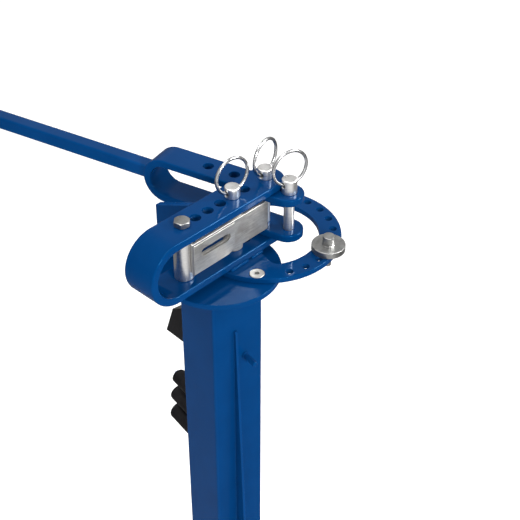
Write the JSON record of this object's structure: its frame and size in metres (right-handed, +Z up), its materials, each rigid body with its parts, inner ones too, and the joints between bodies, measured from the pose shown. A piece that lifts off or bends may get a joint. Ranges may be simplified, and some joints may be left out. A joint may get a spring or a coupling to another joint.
{
  "type": "manual bending machine on a pedestal",
  "caption": "Pedestal-mounted hand bender: a pinned lever fork swings inside a fixed fork over a drilled stop ring, with lift-out pins and spare dies stored on the post.",
  "frame": {"origin": "centre of the foot plate's underside, on the post's axis", "axes": "+Z up; +X along the fixed fork from its closed bend to the pivot pin; -Y the side the bent work leaves on"},
  "size_m": [0.3616, 1.0538, 1.0569],
  "materials": {
    "foot_plate_mat": "gloss blue paint",
    "post_tube_mat": "gloss blue paint",
    "post_rib_front_mat": "gloss blue paint",
    "post_rib_rear_mat": "gloss blue paint",
    "head_flange_mat": "gloss blue paint",
    "ring_plate_mat": "gloss blue paint",
    "ring_screw_front_mat": "bright zinc plate",
    "ring_screw_rear_mat": "bright zinc plate",
    "ring_screw_nut_front_mat": "bright zinc plate",
    "ring_screw_nut_rear_mat": "bright zinc plate",
    "fixed_fork_mat": "gloss blue paint",
    "rear_gusset_mat": "gloss blue paint",
    "anvil_bolt_mat": "bright zinc plate",
    "anvil_nut_mat": "bright zinc plate",
    "anvil_sleeve_mat": "bright zinc plate",
    "jaw_slotted_plate_mat": "bare mill steel, dull",
    "jaw_back_plate_mat": "bare mill steel, dull",
    "jaw_bushing_mat": "bare mill steel, dull",
    "lever_fork_mat": "gloss blue paint",
    "lever_bar_mat": "gloss blue paint",
    "lever_end_plug_mat": "black moulded plastic",
    "anchor_pin_mat": "ground bright steel",
    "anchor_pin_ring_mat": "polished steel wire",
    "pivot_pin_mat": "ground bright steel",
    "pivot_pin_ring_mat": "polished steel wire",
    "forming_pin_mat": "ground bright steel",
    "forming_pin_ring_mat": "polished steel wire",
    "stop_pin_mat": "bright zinc plate",
    "front_peg_mat": "gloss blue paint",
    "die_peg_small_mat": "gloss blue paint",
    "die_peg_medium_mat": "gloss blue paint",
    "die_peg_large_mat": "gloss blue paint",
    "block_peg_mat": "gloss blue paint",
    "round_die_small_mat": "black oxide, oiled",
    "round_die_medium_mat": "black oxide, oiled",
    "round_die_large_mat": "black oxide, oiled",
    "wedge_block_mat": "black oxide, oiled"
  },
  "bodies": {
    "frame": {"foot_plate": "foot_plate_mat", "post_tube": "post_tube_mat", "post_rib_front": "post_rib_front_mat", "post_rib_rear": "post_rib_rear_mat", "head_flange": "head_flange_mat", "ring_plate": "ring_plate_mat", "ring_screw_front": "ring_screw_front_mat", "ring_screw_rear": "ring_screw_rear_mat", "ring_screw_nut_front": "ring_screw_nut_front_mat", "ring_screw_nut_rear": "ring_screw_nut_rear_mat", "fixed_fork": "fixed_fork_mat", "rear_gusset": "rear_gusset_mat", "anvil_bolt": "anvil_bolt_mat", "anvil_nut": "anvil_nut_mat", "front_peg": "front_peg_mat", "die_peg_small": "die_peg_small_mat", "die_peg_medium": "die_peg_medium_mat", "die_peg_large": "die_peg_large_mat", "block_peg": "block_peg_mat"},
    "lever": {"lever_fork": "lever_fork_mat", "lever_bar": "lever_bar_mat", "lever_end_plug": "lever_end_plug_mat"},
    "jaw": {"jaw_slotted_plate": "jaw_slotted_plate_mat", "jaw_back_plate": "jaw_back_plate_mat", "jaw_bushing": "jaw_bushing_mat"},
    "anvil": {"anvil_sleeve": "anvil_sleeve_mat"},
    "anchor": {"anchor_pin": "anchor_pin_mat"},
    "anchor_loop": {"anchor_pin_ring": "anchor_pin_ring_mat"},
    "pivot": {"pivot_pin": "pivot_pin_mat"},
    "pivot_loop": {"pivot_pin_ring": "pivot_pin_ring_mat"},
    "forming": {"forming_pin": "forming_pin_mat"},
    "forming_loop": {"forming_pin_ring": "forming_pin_ring_mat"},
    "stop": {"stop_pin": "stop_pin_mat"},
    "die_small": {"round_die_small": "round_die_small_mat"},
    "die_medium": {"round_die_medium": "round_die_medium_mat"},
    "die_large": {"round_die_large": "round_die_large_mat"},
    "block": {"wedge_block": "wedge_block_mat"}
  },
  "joints": [
    {"name": "lever_swing", "type": "hinge", "parent": "frame", "child": "lever", "pos_m": [0.0844, 0, 1], "axis": [0, 0, 1], "range_deg": [-22, 25]},
    {"name": "jaw_swing", "type": "hinge", "parent": "frame", "child": "jaw", "pos_m": [0.0244, 0, 1], "axis": [0, 0, 1], "range_deg": [0, 7]},
    {"name": "anvil_sleeve_spin", "type": "hinge", "parent": "frame", "child": "anvil", "pos_m": [-0.0621, 0, 1], "axis": [0, 0, 1], "continuous": true},
    {"name": "anchor_pin_lift", "type": "slide", "parent": "frame", "child": "anchor", "axis": [0, 0, 1], "range_m": [0, 0.1]},
    {"name": "anchor_ring_swing", "type": "hinge", "parent": "anchor", "child": "anchor_loop", "pos_m": [0.0244, 0, 1.007], "axis": [0.9925, -0.1219, 0], "range_deg": [-92, 92]},
    {"name": "pivot_pin_lift", "type": "slide", "parent": "frame", "child": "pivot", "axis": [0, 0, 1], "range_m": [0, 0.1]},
    {"name": "pivot_ring_swing", "type": "hinge", "parent": "pivot", "child": "pivot_loop", "pos_m": [0.0844, 0, 1.007], "axis": [0.9877, 0.1564, 0], "range_deg": [-10, 25]},
    {"name": "forming_pin_lift", "type": "slide", "parent": "lever", "child": "forming", "axis": [0, 0, 1], "range_m": [0, 0.08]},
    {"name": "forming_ring_swing", "type": "hinge", "parent": "forming", "child": "forming_loop", "pos_m": [0.0927, -0.03483, 1.0017], "axis": [0.9613, -0.2756, 0], "range_deg": [-14, 92]},
    {"name": "stop_pin_lift", "type": "slide", "parent": "frame", "child": "stop", "axis": [0, 0, 1], "range_m": [0, 0.04]},
    {"name": "small_die_slide", "type": "slide", "parent": "frame", "child": "die_small", "axis": [0.184, 0.9829, 0], "range_m": [0, 0.06]},
    {"name": "medium_die_slide", "type": "slide", "parent": "frame", "child": "die_medium", "axis": [0.184, 0.9829, 0], "range_m": [0, 0.06]},
    {"name": "large_die_slide", "type": "slide", "parent": "frame", "child": "die_large", "axis": [0.184, 0.9829, 0], "range_m": [0, 0.06]},
    {"name": "wedge_block_slide", "type": "slide", "parent": "frame", "child": "block", "axis": [0.184, 0.9829, 0], "range_m": [0, 0.06]}
  ]
}
